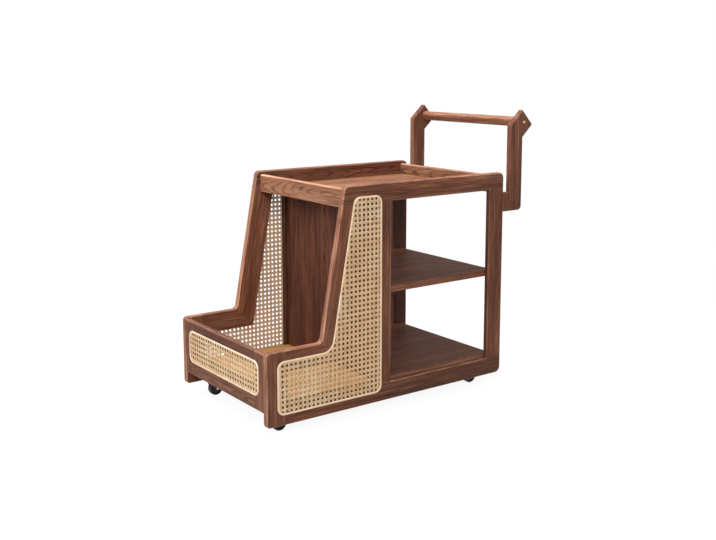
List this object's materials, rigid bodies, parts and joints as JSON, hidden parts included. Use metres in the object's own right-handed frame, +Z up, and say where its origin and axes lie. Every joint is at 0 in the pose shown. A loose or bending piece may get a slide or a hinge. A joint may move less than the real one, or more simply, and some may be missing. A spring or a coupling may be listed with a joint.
{
  "type": "rolling side table cart",
  "caption": "Low rolling side table of walnut-brown wood and woven cane, with a front bin, open shelf bays, a tray top, a push handle and swivel casters.",
  "frame": {"origin": "on the floor, under the middle of the overall outline", "axes": "+X towards the push handle (rear), +Z up, +Y towards the right side as seen by someone who pushes the handle; the low bin is at -X"},
  "size_m": [0.7972, 0.404, 0.7008],
  "materials": {
    "walnut": "walnut-brown stain, satin",
    "beech": "raw beech",
    "cane_webbing": "woven rattan cane, natural",
    "cane_spline": "round reed, natural",
    "zinc_steel": "bright zinc plating",
    "black_steel": "black zinc plating",
    "black_tread": "black nylon, glossy",
    "brass": "satin brass"
  },
  "bodies": {
    "table": {"caster_plates": "zinc_steel", "divider": "walnut", "floor_board": "walnut", "front_caster_batten": "walnut", "front_cross_rail": "walnut", "handle_bar": "walnut", "handle_screws": "brass", "left_bottom_rail": "walnut", "left_front_post": "walnut", "left_handle_arm": "walnut", "left_knee_tenon": "beech", "left_loose_tenons": "beech", "left_low_rail": "walnut", "left_mid_post": "walnut", "left_panel_stile": "walnut", "left_rear_post": "walnut", "left_slant_post": "walnut", "left_top_rail": "walnut", "left_webbing": "cane_webbing", "left_webbing_spline": "cane_spline", "middle_shelf": "walnut", "panel_bottom_rail": "walnut", "panel_top_rail": "walnut", "panel_webbing": "cane_webbing", "panel_webbing_spline": "cane_spline", "rear_caster_batten": "walnut", "rear_cross_rail": "walnut", "right_bottom_rail": "walnut", "right_front_post": "walnut", "right_handle_arm": "walnut", "right_knee_tenon": "beech", "right_loose_tenons": "beech", "right_low_rail": "walnut", "right_mid_post": "walnut", "right_panel_stile": "walnut", "right_rear_post": "walnut", "right_slant_post": "walnut", "right_top_rail": "walnut", "right_webbing": "cane_webbing", "right_webbing_spline": "cane_spline", "tray_board": "walnut"},
    "front_left_fork": {"front_left_caster_fork": "black_steel", "front_left_caster_axle": "zinc_steel"},
    "front_left_wheel": {"front_left_caster_wheel": "black_tread"},
    "front_right_fork": {"front_right_caster_fork": "black_steel", "front_right_caster_axle": "zinc_steel"},
    "front_right_wheel": {"front_right_caster_wheel": "black_tread"},
    "rear_left_fork": {"rear_left_caster_fork": "black_steel", "rear_left_caster_axle": "zinc_steel"},
    "rear_left_wheel": {"rear_left_caster_wheel": "black_tread"},
    "rear_right_fork": {"rear_right_caster_fork": "black_steel", "rear_right_caster_axle": "zinc_steel"},
    "rear_right_wheel": {"rear_right_caster_wheel": "black_tread"}
  },
  "joints": [
    {"name": "front_left_swivel", "type": "hinge", "parent": "table", "child": "front_left_fork", "pos_m": [-0.34761, -0.15, 0.042], "axis": [0, 0, 1], "continuous": true},
    {"name": "front_left_roll", "type": "hinge", "parent": "front_left_fork", "child": "front_left_wheel", "pos_m": [-0.33761, -0.15, 0.0175], "axis": [0, 1, 0], "continuous": true},
    {"name": "front_right_swivel", "type": "hinge", "parent": "table", "child": "front_right_fork", "pos_m": [-0.34761, 0.15, 0.042], "axis": [0, 0, 1], "continuous": true},
    {"name": "front_right_roll", "type": "hinge", "parent": "front_right_fork", "child": "front_right_wheel", "pos_m": [-0.33761, 0.15, 0.0175], "axis": [0, 1, 0], "continuous": true},
    {"name": "rear_left_swivel", "type": "hinge", "parent": "table", "child": "rear_left_fork", "pos_m": [0.22939, -0.15, 0.042], "axis": [0, 0, 1], "continuous": true},
    {"name": "rear_left_roll", "type": "hinge", "parent": "rear_left_fork", "child": "rear_left_wheel", "pos_m": [0.23939, -0.15, 0.0175], "axis": [0, 1, 0], "continuous": true},
    {"name": "rear_right_swivel", "type": "hinge", "parent": "table", "child": "rear_right_fork", "pos_m": [0.22939, 0.15, 0.042], "axis": [0, 0, 1], "continuous": true},
    {"name": "rear_right_roll", "type": "hinge", "parent": "rear_right_fork", "child": "rear_right_wheel", "pos_m": [0.23939, 0.15, 0.0175], "axis": [0, 1, 0], "continuous": true}
  ]
}
